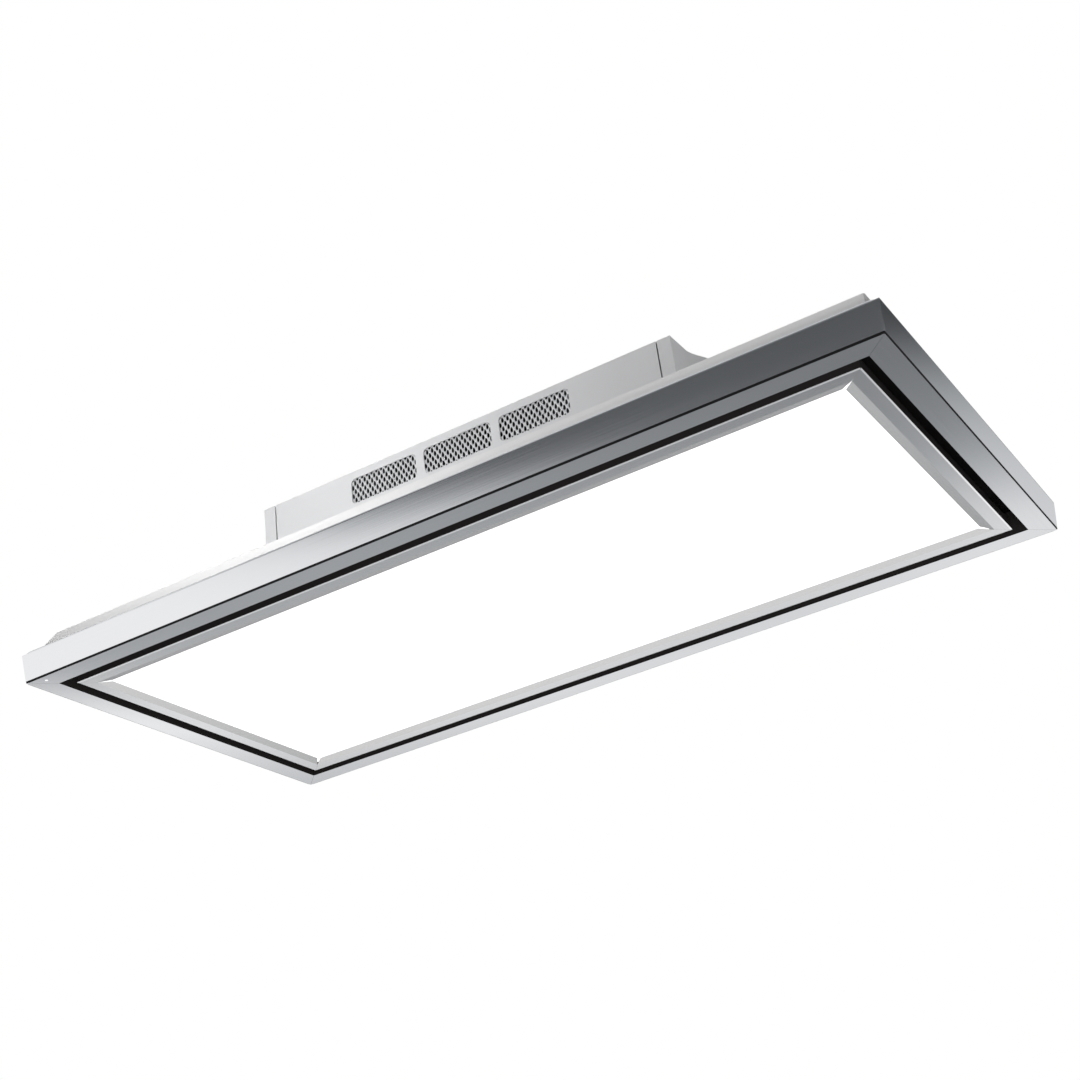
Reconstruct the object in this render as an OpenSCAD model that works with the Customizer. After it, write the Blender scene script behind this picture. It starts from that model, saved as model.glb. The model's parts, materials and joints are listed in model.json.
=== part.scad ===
// Ceiling range hood: a stainless trim with a suction slot round a hinged light panel,
// a casing that stands through the ceiling, two grease filters and a blower box on the deck.
// Millimetres. +X runs along the length, -Y is the front, +Z is up.
// Heights are written from the underside of the trim. hung() then moves the origin to the
// centre of the four hanger holes, on top of their ears.

/* [Trim] */
// Length of the trim at its underside
trim_l = 1000; // [900:10:1200]
// Depth of the trim at its underside, front to back
trim_w = 490; // [480:5:560]
// Height of the upright fascia, up to the ceiling line
fascia_h = 36; // [32:1:44]
// Sheet thickness of the fascia
fascia_t = 1.2; // [0.8:0.1:1.5]
// How far the fascia leans out at the ceiling
fascia_lean_w = 3; // [0:0.5:5]
// Radius of the bend at the fascia's top
fascia_bend_r = 4; // [2:0.5:6]
// Radius of the trim's upright corners
trim_r = 1.2; // [0.6:0.1:2]
// Width of the flat face plate, up to the suction slot
face_w = 24.6; // [22:0.2:30]
// Sheet thickness of the face plate
face_t = 0.8; // [0.6:0.1:1.2]
// Thickness of the black gasket between face plate and fascia
gasket_t = 1.6; // [1.2:0.1:2.4]
// Width of the suction slot round the light panel
slot_w = 13.2; // [11:0.2:18]

/* [Casing] */
// Distance from the trim's outside to the casing wall
casing_inset = 13; // [11:0.5:18]
// Height of the casing's top above the underside of the trim
casing_h = 54; // [52:1:70]
// Sheet thickness of casing, deck and blower box
sheet_t = 1.2; // [0.8:0.1:1.6]
// Radius of the casing's upright corners
casing_r = 2; // [1.6:0.1:5]
// Height of the black air guide behind the slot
guide_h = 26; // [20:1:30]

/* [Light panel] */
// Width of the flat metal ring round the light
bezel_w = 14.8; // [12:0.2:20]
// Width of the sloping border inside the ring
bevel_w = 10.8; // [8:0.2:14]
// How far the sloping border rises
bevel_h = 2.2; // [1.5:0.1:3]
// Sheet thickness of the ring
bezel_t = 1; // [0.8:0.1:1.2]
// Radius of the ring's outer corners
bezel_r = 1.2; // [0.8:0.1:2]
// Opening of the mitre at the light's corners, half its width
wedge_w = 2.6; // [1:0.1:3]
// Thickness of the opal diffuser
diffuser_t = 3; // [2:0.5:4]
// Thickness of the clear light guide
guide_plate_t = 4; // [3:0.5:5]
// Sheet thickness of the tray
tray_t = 1.2; // [0.8:0.1:1.5]
// Radius of the hinge pins
pin_r = 2.5; // [2:0.1:3]
// Distance from the panel's rear edge to the hinge axis
hinge_inset = 8; // [7.5:0.1:8.5]
// Distance of the hinges from the middle of the panel
hinge_x = 330; // [290:5:370]

/* [Grease filters] */
// Length of one filter, along the hood
filter_l = 222; // [180:1:224]
// Distance from a filter to the blower box's front and rear
filter_margin = 22.5; // [20.5:0.5:40]
// Thickness of a filter
filter_t = 10; // [8:0.5:11]
// Number of pleats in a filter
filter_pleats = 20; // [8:1:24]

/* [Blower box] */
// Length of the blower box at its front
box_l = 517; // [510:1:560]
// Depth of the blower box, front to back
box_d = 251; // [240:1:290]
// Height of the blower box above the deck
box_h = 114; // [114:1:140]
// Width of the end panels' front flanges
end_flange_w = 15; // [12:0.5:18]
// How far the end panels swell out behind the front
end_swell = 14; // [6:1:24]
// Length of one outlet window
window_l = 85; // [70:1:90]
// Height of one outlet window
window_h = 30; // [24:1:34]
// Distance from one window's middle to the next
window_pitch = 95.5; // [95.5:0.5:110]
// Corner radius of a window
window_r = 5; // [3:0.5:8]
// Height of the windows' middle below the top of the box
window_drop = 24; // [22:0.5:28]
// Length of one diamond of the expanded metal
diamond_l = 6.4; // [5.5:0.1:9]
// Height of one diamond of the expanded metal
diamond_h = 10.4; // [8:0.1:13]
// Width of a strand of the expanded metal
strand_w = 3.2; // [2:0.1:4]

/* [Fan] */
// What half the box's depth leaves beside the impeller
fan_margin = 53.5; // [52.5:0.5:60]
// Height of the impeller's blades
blade_h = 60; // [50:1:62]
// Number of blades
blades = 36; // [24:1:44]
// Radius of the motor shaft
shaft_r = 4; // [3:0.5:5]
// Radius of the motor's can as a share of the air inlet's radius
motor_share = 0.66; // [0.55:0.01:0.66]

/* [Mounting] */
// Distance from the middle to the hanger holes, along the hood
hanger_x = 400; // [340:5:420]
// Distance from the middle to the hanger holes, front to back
hanger_y = 165; // [155:5:175]
// Height of the hanger ears above the deck
hanger_rise = 30; // [24:1:40]
// Radius of the hanger holes
hanger_hole_r = 4.5; // [3.5:0.5:5.5]
// Radius of the supply cable's hole in the gland
cable_r = 4.5; // [3:0.5:5]

/* [Hidden] */

// Facets of round parts
$fn = 48;
// One overrun for every cut
cut = 1;
// Running clearance of a pin in its bore, clearance of a seated sheet, width of a hairline mitre
pin_clear = 0.05;
seat_gap = 0.3;
mitre_gap = 0.2;

// Colours
steel = [0.66, 0.67, 0.69];
casing_grey = [0.80, 0.79, 0.78];
black = [0.07, 0.07, 0.08];
opal = [0.97, 0.97, 0.96];
zinc = [0.72, 0.74, 0.77];
plastic_grey = [0.45, 0.46, 0.48];

// Levels and lengths that follow from the sizes above
gasket_lip = 0.8;
gasket_lip_z = 0.2;
gasket_w = 19.2;
seat_z = face_t + gasket_t;
face_lip_h = 9;
guide_sheet_t = 1.2;
face_lip_inset = face_w - guide_sheet_t - seat_gap - face_t;
corner_foot = 3.5;
wall_in = casing_inset + sheet_t;
deck_z = casing_h - sheet_t;
deck_skirt = 10;
bend_steps = 6;

// Slant at the casing's front left corner: where it starts, how far it falls and how wide it is
slant_start = 33;
slant_h = 9.6;
slant_w = 28;
slant_x = -trim_l / 2 + slant_start;
slant_run = slant_start - casing_inset;
slant_y = -trim_w / 2 + casing_inset + slant_w;
panel_inset = face_w + slot_w;
panel_l = trim_l - 2 * panel_inset;
panel_w = trim_w - 2 * panel_inset;
light_inset = bezel_w + bevel_w;
diffuser_z = bezel_t + bevel_h;
guide_z = diffuser_z + diffuser_t;
reflector_t = 0.6;
reflector_z = guide_z + guide_plate_t;
tray_top_z = reflector_z + reflector_t + tray_t;
tray_edge = 0.5;
tray_flange_w = 12;
diffuser_lap = 10.4;

// Light strips at the panel's short sides
strip_inset = 3.2;
strip_base_t = 1.4;
strip_leg_t = 1.5;
strip_leg_inset = 2;
board_t = 1.2;
board_margin = 0.6;
chip_l = 4;
chip_h = 2.6;
chip_t = 1.4;
chip_pitch = 14;
chip_gap = 0.8;
guide_inset = strip_inset + strip_leg_inset + strip_leg_t + board_t + chip_t + chip_gap;

// Hinge of the light panel
hinge_drop = 4;
hinge_y = panel_w / 2 - hinge_inset;
hinge_z = tray_top_z - hinge_drop;
knuckle_r = 5;
leaf_r = 4.4;
ear_t = 3;
leaf_t = 2;
leaf_gap = 0.5;
leaf_plate_t = 1.5;
leaf_plate_w = 26;
leaf_l = 34;
leaf_ear_l = 24;
leaf_ear_h = 7;
notch_y = 7;
notch_floor = 2.8;
notch_gap = 1.8;
ear_foot_l = 22;
ear_foot_w = 16;
ear_foot_t = 1.5;
pin_head_r = 3.6;
pin_head_t = 1.2;

// Magnet catches at the panel's front
catch_x = 300;
catch_inset = 22;
striker_l = 26;
striker_w = 16;
striker_t = 1;
magnet_l = 20;
magnet_w = 12;
magnet_t = 5;
bracket_t = 1.5;
bracket_foot = 14;

// Grease filters
filter_gap = 8;
filter_w = box_d - 2 * filter_margin;
filter_x = (filter_l + filter_gap) / 2;
filter_sheet = 1;
filter_flange = 8;
filter_clear = 0.2;
pleat_t = 0.6;
rail_t = 1.2;
rail_lip = 5;
rail_margin = 4;
rail_foot = 12;
filter_top_gap = 0.8;
filter_side_gap = 1;
filter_front_gap = 0.6;
filter_z = deck_z - filter_top_gap - filter_t;
rail_span = 2 * filter_x + filter_l + rail_margin;
filter_magnet_l = 30;
filter_magnet_w = 6;
filter_magnet_x = 60;
filter_magnet_h = filter_t - filter_top_gap;
deck_web = 24;
pull_w = 36;
pull_l = 12;
pull_h = 5;
pull_t = 1;

// Blower box
box_top = casing_h + box_h;
seam_gap = 1.4;
return_w = 12;
swell_start = 34;
swell_run = 46;
swell_steps = 12;
mesh_lap = 4;
mesh_bare = 1.6;
mesh_t = 1.2;
window_z = box_top - window_drop;
front_y = -box_d / 2;

// Impeller, air inlet and motor
impeller_r = box_d / 2 - fan_margin;
inlet_margin = 16;
inlet_r = impeller_r - inlet_margin;
motor_r = inlet_r * motor_share;

// Fan scroll, its clearance round the impeller and how far it opens
scroll_clear = 10;
scroll_grow = 33;
scroll_t = 2;
scroll_steps = 44;
tongue_angle = 50;
mount_h = 7;
mount_r = 8;
scroll_top = box_top - mount_h - sheet_t;
scroll_h = 76;
scroll_bottom = scroll_top - scroll_h;
tongue_r = impeller_r + scroll_clear;
scroll_r = tongue_r + scroll_grow;
fan_x = (scroll_r + tongue_r * cos(tongue_angle)) / 2;
scroll_rear_r = tongue_r + scroll_grow * (270 - tongue_angle) / (360 - tongue_angle);
fan_y = box_d / 2 - sheet_t - scroll_rear_r - scroll_t;
duct_y = fan_y - scroll_r + scroll_grow / 2;
hood_t = 1.6;
hood_lap = 2;
inlet_lip_r = 8;
inlet_lip_t = 1.6;

// Impeller and motor
blade_w = 14;
blade_inner_r = impeller_r - blade_w;
blade_t = 1.2;
blade_lean = 26;
blade_steps = 5;
back_t = 2.5;
cup_t = 2;
cup_gap = 4;
cup_r = motor_r + cup_gap + cup_t;
hub_r = 11;
hub_h = 14;
shroud_t = 2.5;
shroud_w = 11;
impeller_z = scroll_bottom + scroll_t + inlet_lip_r - shroud_t;
impeller_top = impeller_z + blade_h;
motor_h = 42;
motor_flange_w = 9;
motor_flange_r = motor_r + motor_flange_w;
motor_flange_t = 2.5;
motor_cap_r = motor_r * 3 / 5;
motor_cap_h = 1.5;
motor_hole_r = motor_r + seat_gap;
motor_z = scroll_top - motor_h;
shaft_below = 22;
shaft_in = 24;
motor_fin = 1.2;
motor_fins = 12;

// Electronics hung under the lid
electronics_l = 138;
electronics_w = 124;
electronics_h = 56;
electronics_r = 4;
driver_l = 160;
driver_w = 34;
driver_h = 27;
wall_gap = 6;
cover_step = 1.5;
electronics_y = box_d / 2 - sheet_t - return_w - cover_step - electronics_w;

// Supply cable's gland and terminals in the rear panel
gland_margin = 58.5;
gland_x = gland_margin - box_l / 2;
gland_rise = 42;
gland_z = casing_h + gland_rise;
gland_thread_r = 10;
gland_hex_r = 14;
gland_hex_t = 6;
gland_nut_t = 5;
gland_dome_r = 11;
gland_dome_l = 14;
gland_thread_l = 9;
terminal_l = 44;
terminal_w = 16;
terminal_h = 22;
terminal_ways = 4;
terminal_screw_r = 2.4;
terminal_screw_h = 2;

// Hangers and screws
hanger_t = 2.5;
hanger_w = 30;
hanger_foot = 34;
hanger_ear = 28;
hanger_z = casing_h + hanger_rise;
screw_r = 2;
screw_head_r = 3.8;
screw_head_h = 1.8;
screw_l = 6;
screw_clear = 0.2;
lid_screw_margin = 58.5;
lid_screw_x = box_l / 2 - lid_screw_margin;
lid_screw_xs = [-lid_screw_x, 0, lid_screw_x];
lid_screw_inset = sheet_t + return_w / 2;
deck_screw_margin = 68.5;
deck_screw_x = box_l / 2 - deck_screw_margin;
deck_screw_xs = [-deck_screw_x, deck_screw_x];

// Infrared receiver in the face plate's corner
ir_inset_x = 21.4;
ir_inset_y = 9.4;
ir_x = -(trim_l / 2 - ir_inset_x);
ir_y = -(trim_w / 2 - ir_inset_y);
ir_r = 1.6;
ir_block = 7;
ir_block_h = 5;

// Moves the model from the trim's underside to the hanger holes
module hung() {
    translate([0, 0, -hanger_z]) children();
}

// Rectangle with round corners, from true circles
module plate2d(l, w, r = 0) {
    if (r > 0) {
        square([l, w - 2 * r], center = true);
        square([l - 2 * r, w], center = true);
        for (sx = [-1, 1], sy = [-1, 1])
            translate([sx * (l / 2 - r), sy * (w / 2 - r)]) circle(r);
    } else
        square([l, w], center = true);
}

// Band that starts at one inset from the trim's outside and ends at another
module band2d(from, to, r_out = 0, r_in = 0) {
    difference() {
        plate2d(trim_l - 2 * from, trim_w - 2 * from, r_out);
        plate2d(trim_l - 2 * to, trim_w - 2 * to, r_in);
    }
}

// One side of the trim between two mitres: 0 front, 1 right, 2 rear, 3 left
module side2d(side, gap = 0) {
    k = gap / sqrt(2);
    long = side == 0 || side == 2;
    a = (long ? trim_l : trim_w) / 2;
    b = (long ? trim_w : trim_l) / 2;
    deep = min(a, b) / 2;
    rotate(side * 90)
        polygon([[-a - cut + k, -b - cut], [a + cut - k, -b - cut],
                 [a - deep - k, -b + deep], [-a + deep + k, -b + deep]]);
}

module mitred_band(side, from, to, z0, z1, r_out = 0, r_in = 0, gap = 0) {
    translate([0, 0, z0]) linear_extrude(z1 - z0) intersection() {
        band2d(from, to, r_out, r_in);
        side2d(side, gap);
    }
}

module corner_squares2d(from, size) {
    for (sx = [-1, 1], sy = [-1, 1])
        translate([sx * (trim_l / 2 - from - size / 2), sy * (trim_w / 2 - from - size / 2)])
            square(size, center = true);
}

module screw(x, y, z, length = screw_l) {
    translate([x, y, z]) cylinder(h = screw_head_h, r = screw_head_r);
    translate([x, y, z - length]) cylinder(h = length + screw_head_h / 2, r = screw_r);
}

module screw_holes(places, z0, z1) {
    for (p = places)
        translate([p[0], p[1], z0 - cut]) cylinder(h = z1 - z0 + 2 * cut, r = screw_r + screw_clear);
}

// Section of a fascia rail: it leans out, bends over at the top and ends against the casing
function bend(r) = [for (i = [0:bend_steps]) let (a = 180 - 90 * i / bend_steps)
    [fascia_bend_r - fascia_lean_w + r * cos(a), fascia_h - fascia_bend_r + r * sin(a)]];
module rail2d() {
    flange_w = casing_inset - seat_gap;
    polygon(concat([[0, seat_z]], bend(fascia_bend_r),
                   [[flange_w, fascia_h], [flange_w, fascia_h - fascia_t]],
                   reversed(bend(fascia_bend_r - fascia_t)), [[fascia_t, seat_z]]));
}

// Trim: fascia rails with a top flange against the ceiling and small feet at the corners
module fascia(side) {
    long = side == 0 || side == 2;
    half_l = (long ? trim_l : trim_w) / 2;
    half_w = (long ? trim_w : trim_l) / 2;
    reach = half_l + 2 * fascia_lean_w;
    far = reach - half_l;
    color(steel) hung() {
        rotate(side * 90) intersection() {
            translate([-reach, -half_w, 0]) rotate([90, 0, 90]) linear_extrude(2 * reach) rail2d();
            linear_extrude(fascia_h + cut)
                polygon([[-reach, -half_w - far], [reach, -half_w - far],
                         [half_l - casing_inset, -half_w + casing_inset],
                         [-half_l + casing_inset, -half_w + casing_inset]]);
        }
        translate([0, 0, face_t]) linear_extrude(gasket_t) intersection() {
            band2d(0, fascia_t, trim_r);
            corner_squares2d(0, corner_foot);
            side2d(side);
        }
    }
}
module fascia_front() { fascia(0); }
module fascia_right() { fascia(1); }
module fascia_rear() { fascia(2); }
module fascia_left() { fascia(3); }

// Trim: flat face plates with a lip that stands behind the air guide
module face(side) {
    difference() {
        union() {
            mitred_band(side, gasket_lip, face_w, 0, face_t, trim_r, 0, mitre_gap);
            mitred_band(side, face_lip_inset, face_lip_inset + face_t, face_t, face_lip_h,
                        0, 0, mitre_gap);
        }
        translate([ir_x, ir_y, -cut]) cylinder(h = face_t + 2 * cut, r = ir_r + screw_clear);
    }
}
module face_front() { color(steel) hung() face(0); }
module face_right() { color(steel) hung() face(1); }
module face_rear() { color(steel) hung() face(2); }
module face_left() { color(steel) hung() face(3); }

// Trim: black gasket that shows as the dark line under the fascia
module shadow_gasket() {
    color(black) hung() for (side = [0:3]) difference() {
        union() {
            mitred_band(side, 0, gasket_lip, gasket_lip_z, seat_z, 0, 0, mitre_gap);
            mitred_band(side, gasket_lip, gasket_lip + gasket_w, face_t, seat_z, 0, 0, mitre_gap);
        }
        translate([0, 0, -cut]) linear_extrude(seat_z + 2 * cut)
            corner_squares2d(0, corner_foot + seat_gap);
        translate([ir_x, ir_y, 0]) cylinder(h = seat_z + cut, r = ir_r + screw_clear);
    }
}

// Everything above the slant at the casing's front left corner
module slant_cut() {
    fall = slant_h / slant_run;
    translate([slant_x, slant_y, casing_h]) rotate([90, 0, 0]) linear_extrude(trim_w / 2)
        polygon([[0, 0], [0, cut], [-slant_start, cut], [-slant_start, -slant_start * fall]]);
}

// Casing walls with a flange under the fascia's foot and a narrow upright bend at the corner
module casing(side) {
    color(casing_grey) hung() difference() {
        union() {
            mitred_band(side, casing_inset, wall_in, seat_z, casing_h,
                        casing_r, casing_r - sheet_t, mitre_gap);
            mitred_band(side, fascia_t + seat_gap, casing_inset, seat_z, seat_z + sheet_t,
                        trim_r, casing_r, mitre_gap);
        }
        translate([ir_x, ir_y, seat_z - cut]) cylinder(h = sheet_t + 2 * cut, r = ir_r + screw_clear);
        slant_cut();
    }
}
module casing_front() { casing(0); }
module casing_right() { casing(1); }
module casing_rear() { casing(2); }
module casing_left() { casing(3); }

// Black angle that leads the air from the slot into the casing
module air_guide(side) {
    mitred_band(side, face_w - guide_sheet_t, face_w, face_t, guide_h, 0, 0, mitre_gap);
    mitred_band(side, wall_in + seat_gap, face_w, guide_h, guide_h + guide_sheet_t,
                casing_r - sheet_t, 0, mitre_gap);
}
module air_guides_long() {
    color(black) hung() for (side = [0, 2]) air_guide(side);
}
module air_guides_short() {
    color(black) hung() for (side = [1, 3]) air_guide(side);
}

hanger_screws = [for (sx = [-1, 1], sy = [-1, 1], k = [-1, 1])
    [sx * (hanger_x - hanger_foot / 2 - hanger_ear / 2 + k * hanger_foot / 4), sy * hanger_y]];
box_screws = [for (x = deck_screw_xs, sy = [-1, 1])
    [x, sy * (box_d / 2 - sheet_t - return_w / 2)]];

// Deck: a shallow pan with one opening over each filter
module top_deck() {
    opening_l = filter_x + filter_l / 2 - filter_flange - deck_web / 2;
    opening_w = filter_w - 2 * filter_flange;
    color(casing_grey) hung() {
        difference() {
            union() {
                translate([0, 0, deck_z]) linear_extrude(sheet_t)
                    plate2d(trim_l - 2 * wall_in, trim_w - 2 * wall_in, casing_r - sheet_t);
                translate([0, 0, deck_z - deck_skirt]) linear_extrude(deck_skirt)
                    band2d(wall_in, wall_in + sheet_t, casing_r - sheet_t);
            }
            for (s = [-1, 1]) translate([s * (deck_web + opening_l) / 2, 0, deck_z - cut])
                linear_extrude(sheet_t + 2 * cut) plate2d(opening_l, opening_w, window_r);
            screw_holes(hanger_screws, deck_z, casing_h);
            screw_holes(box_screws, deck_z, casing_h);
            slant_cut();
        }
        deck_slant();
    }
}

// The deck's front left corner, pressed down to the slant, with the upright at its rear
module deck_slant() {
    run = slant_start - wall_in;
    drop = slant_h * run / slant_run;
    translate([slant_x, slant_y, casing_h]) rotate([90, 0, 0]) {
        linear_extrude(slant_w - sheet_t)
            polygon([[0, 0], [-run, -drop], [-run, -drop - sheet_t], [0, -sheet_t]]);
        linear_extrude(sheet_t) polygon([[0, 0], [-run, 0], [-run, -drop - sheet_t], [0, -sheet_t]]);
    }
}

// Filter rails: the rear one has the lip that a filter's rear edge rocks on
module filter_rails() {
    color(zinc) hung() {
        rear = filter_w / 2 + filter_side_gap;
        lip_z = filter_z - seat_gap;
        front = -filter_w / 2 - filter_front_gap;
        translate([-rail_span / 2, 0, 0]) {
            translate([0, rear, lip_z - rail_t]) cube([rail_span, rail_t, deck_z - lip_z + rail_t]);
            translate([0, filter_w / 2 - rail_lip, lip_z - rail_t])
                cube([rail_span, rear - filter_w / 2 + rail_lip + rail_t, rail_t]);
            translate([0, rear, deck_z - rail_t]) cube([rail_span, rail_foot, rail_t]);
            translate([0, front - rail_t, filter_z + filter_top_gap])
                cube([rail_span, rail_t, deck_z - filter_z - filter_top_gap]);
            translate([0, front - rail_foot, deck_z - rail_t])
                cube([rail_span, rail_foot - rail_t, rail_t]);
        }
    }
}

module filter_magnets() {
    color(zinc) hung() for (s = [-1, 1], k = [-1, 1])
        translate([s * filter_x + k * filter_magnet_x - filter_magnet_l / 2,
                   -filter_w / 2 - filter_front_gap - rail_t - filter_magnet_w,
                   deck_z - rail_t - filter_magnet_h])
            cube([filter_magnet_l, filter_magnet_w, filter_magnet_h]);
}

// Plan of the box's right end wall, front to back, at a distance in from its outside
function end_wall(off) = concat(
    [[box_l / 2 - off, front_y]],
    [for (i = [0:swell_steps]) let (t = i / swell_steps)
        [box_l / 2 - off + end_swell * (1 - cos(180 * t)) / 2, front_y + swell_start + t * swell_run]],
    [[box_l / 2 - off + end_swell, -front_y]]);

function reversed(list) = [for (i = [len(list) - 1:-1:0]) list[i]];
function mirrored(list) = [for (p = list) [-p[0], p[1]]];

module box_plan2d(off) {
    intersection() {
        polygon(concat(end_wall(off), reversed(mirrored(end_wall(off)))));
        square([2 * box_l, box_d - 2 * off], center = true);
    }
}

seam_x = box_l / 2 - end_flange_w;
panel_half = seam_x - seam_gap;

module window2d(extra = 0) {
    plate2d(window_l + 2 * extra, window_h + 2 * extra, extra > 0 ? 0 : window_r);
}

// Stands a flat outline up in the box's front plane, with its back at y
module in_front(x, y, z, t) {
    translate([x, y, z]) rotate([90, 0, 0]) linear_extrude(t) children();
}

module box_returns(sy) {
    for (z = [casing_h, box_top - 2 * sheet_t])
        translate([-panel_half, sy > 0 ? box_d / 2 - sheet_t - return_w : front_y + sheet_t, z])
            cube([2 * panel_half, return_w, sheet_t]);
}

// Blower box: front with its three outlet windows
module box_front() {
    color(casing_grey) hung() difference() {
        union() {
            in_front(0, front_y + sheet_t, (box_top + casing_h) / 2, sheet_t)
                plate2d(2 * panel_half, box_h);
            box_returns(-1);
        }
        for (k = [-1:1]) in_front(k * window_pitch, front_y + sheet_t + cut, window_z,
                                  sheet_t + 2 * cut) window2d();
        screw_holes([for (x = lid_screw_xs) [x, front_y + lid_screw_inset]],
                    box_top - 2 * sheet_t, box_top - sheet_t);
        screw_holes(box_screws, casing_h, casing_h + sheet_t);
    }
}

module box_rear() {
    color(casing_grey) hung() difference() {
        union() {
            in_front(0, box_d / 2, (box_top + casing_h) / 2, sheet_t) plate2d(2 * panel_half, box_h);
            box_returns(1);
        }
        translate([gland_x, box_d / 2 + cut, gland_z]) rotate([90, 0, 0])
            cylinder(h = sheet_t + 2 * cut, r = gland_thread_r + screw_clear);
        screw_holes([for (x = lid_screw_xs) [x, box_d / 2 - lid_screw_inset]],
                    box_top - 2 * sheet_t, box_top - sheet_t);
        screw_holes(box_screws, casing_h, casing_h + sheet_t);
    }
}

// Blower box: folded end panel, straight at the front and swelling out behind
module box_end() {
    translate([0, 0, casing_h]) linear_extrude(box_h) {
        polygon(concat(end_wall(0), reversed(end_wall(sheet_t))));
        translate([seam_x, front_y]) square([end_flange_w, sheet_t]);
        translate([seam_x, -front_y - sheet_t]) square([end_flange_w + end_swell, sheet_t]);
    }
}
module box_right_end() {
    color(casing_grey) hung() box_end();
}
module box_left_end() {
    color(casing_grey) hung() mirror([1, 0, 0]) box_end();
}

module box_lid() {
    color(casing_grey) hung() difference() {
        translate([0, 0, box_top - sheet_t]) linear_extrude(sheet_t) box_plan2d(sheet_t);
        screw_holes([for (x = lid_screw_xs, sy = [-1, 1]) [x, sy * (box_d / 2 - lid_screw_inset)]],
                    box_top - sheet_t, box_top);
    }
}

// Expanded metal: rows of diamonds, every other row shifted by half a diamond
module expanded_metal2d() {
    columns = ceil(window_l / diamond_l) + 1;
    rows = ceil(window_h / diamond_h) + 1;
    half_l = (diamond_l - strand_w) / 2;
    half_h = (diamond_h - strand_w) / 2;
    difference() {
        window2d(mesh_lap);
        intersection() {
            window2d(mesh_bare);
            for (i = [-columns:columns], j = [-rows:rows])
                if ((i + j) % 2 == 0)
                    translate([i * diamond_l / 2, j * diamond_h / 2])
                        polygon([[-half_l, 0], [0, -half_h], [half_l, 0], [0, half_h]]);
        }
    }
}
module vent_mesh(place) {
    color(zinc) hung()
        in_front(place * window_pitch, front_y + sheet_t + mesh_t, window_z, mesh_t)
            expanded_metal2d();
}
module vent_mesh_left() { vent_mesh(-1); }
module vent_mesh_middle() { vent_mesh(0); }
module vent_mesh_right() { vent_mesh(1); }

// Plan of the scroll: a spiral that opens steadily into a straight duct to the front.
// off is measured in from the outside of the wall.
function scroll_plan(off) = let (
        first = 180 + tongue_angle,
        tongue_x = fan_x - tongue_r * cos(tongue_angle),
        tongue_y = fan_y - tongue_r * sin(tongue_angle)
    ) concat(
        [for (i = [0:scroll_steps]) let (
                t = i / scroll_steps,
                a = first + t * (360 - tongue_angle),
                r = tongue_r + scroll_grow * t - off
            ) [fan_x + r * cos(a), fan_y + r * sin(a)]],
        [[fan_x - scroll_r + off, duct_y], [tongue_x - off, duct_y], [tongue_x - off, tongue_y + off]]);

module at_fan() { translate([fan_x, fan_y, 0]) children(); }

// Fan: lower scroll moulding with its wall and the bellmouth inlet
module scroll_lower() {
    color(black) hung() {
        translate([0, 0, scroll_bottom]) linear_extrude(scroll_t) difference() {
            polygon(scroll_plan(0));
            translate([fan_x, fan_y]) circle(inlet_r + inlet_lip_r - inlet_lip_t / 2);
        }
        translate([0, 0, scroll_bottom + scroll_t]) linear_extrude(scroll_h - 2 * scroll_t)
            difference() {
                polygon(scroll_plan(0));
                polygon(scroll_plan(scroll_t));
            }
        at_fan() translate([0, 0, scroll_bottom]) rotate_extrude() difference() {
            intersection() {
                translate([inlet_r + inlet_lip_r, inlet_lip_r]) circle(inlet_lip_r);
                translate([inlet_r, 0]) square([inlet_lip_r, inlet_lip_r]);
            }
            translate([inlet_r + inlet_lip_r, inlet_lip_r]) circle(inlet_lip_r - inlet_lip_t);
        }
    }
}

mount_places = [for (a = [45, 135, 225, 315])
    [fan_x + (motor_flange_r + tongue_r) / 2 * cos(a), fan_y + (motor_flange_r + tongue_r) / 2 * sin(a)]];

module scroll_cover() {
    color(black) hung() translate([0, 0, scroll_top - scroll_t]) linear_extrude(scroll_t)
        difference() {
            polygon(scroll_plan(0));
            translate([fan_x, fan_y]) circle(motor_hole_r);
        }
}

// Loft between the scroll's mouth and the wide slot behind the windows
module hood_loft(off, run) {
    mouth_l = 2 * window_pitch + window_l + 2 * hood_lap;
    mouth_h = window_h + 2 * hood_lap;
    tongue_x = fan_x - tongue_r * cos(tongue_angle);
    duct_x = fan_x - scroll_r;
    flange_y = front_y + sheet_t + mesh_t;
    hull() {
        translate([duct_x + off, duct_y - cut / 2 + run, scroll_bottom + off])
            cube([tongue_x - duct_x - 2 * off, cut / 2, scroll_h - 2 * off]);
        translate([-mouth_l / 2 + off, flange_y - run, window_z - mouth_h / 2 + off])
            cube([mouth_l - 2 * off, cut / 2, mouth_h - 2 * off]);
    }
}
module outlet_hood() {
    color(black) hung() difference() {
        hood_loft(0, 0);
        hood_loft(hood_t, cut / 4);
    }
}

module fan_mounts() {
    color(black) hung() for (p = mount_places)
        translate([p[0], p[1], scroll_top]) cylinder(h = mount_h, r = mount_r);
}

// Motor: ribbed can in the impeller's cup, flange on the scroll cover
module motor() {
    color(plastic_grey) hung() at_fan() difference() {
        union() {
            translate([0, 0, motor_z]) cylinder(h = motor_h, r = motor_r - motor_fin);
            for (i = [0:motor_fins - 1]) rotate(i * 360 / motor_fins)
                translate([motor_r - 2 * motor_fin, -motor_fin, motor_z + motor_fin])
                    cube([2 * motor_fin - seat_gap, 2 * motor_fin, motor_h - 2 * motor_fin]);
            translate([0, 0, scroll_top]) cylinder(h = motor_flange_t, r = motor_flange_r);
            translate([0, 0, scroll_top + motor_flange_t]) cylinder(h = motor_cap_h, r = motor_cap_r);
        }
        translate([0, 0, motor_z - cut]) cylinder(h = shaft_in + cut, r = shaft_r + pin_clear);
    }
}

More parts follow.
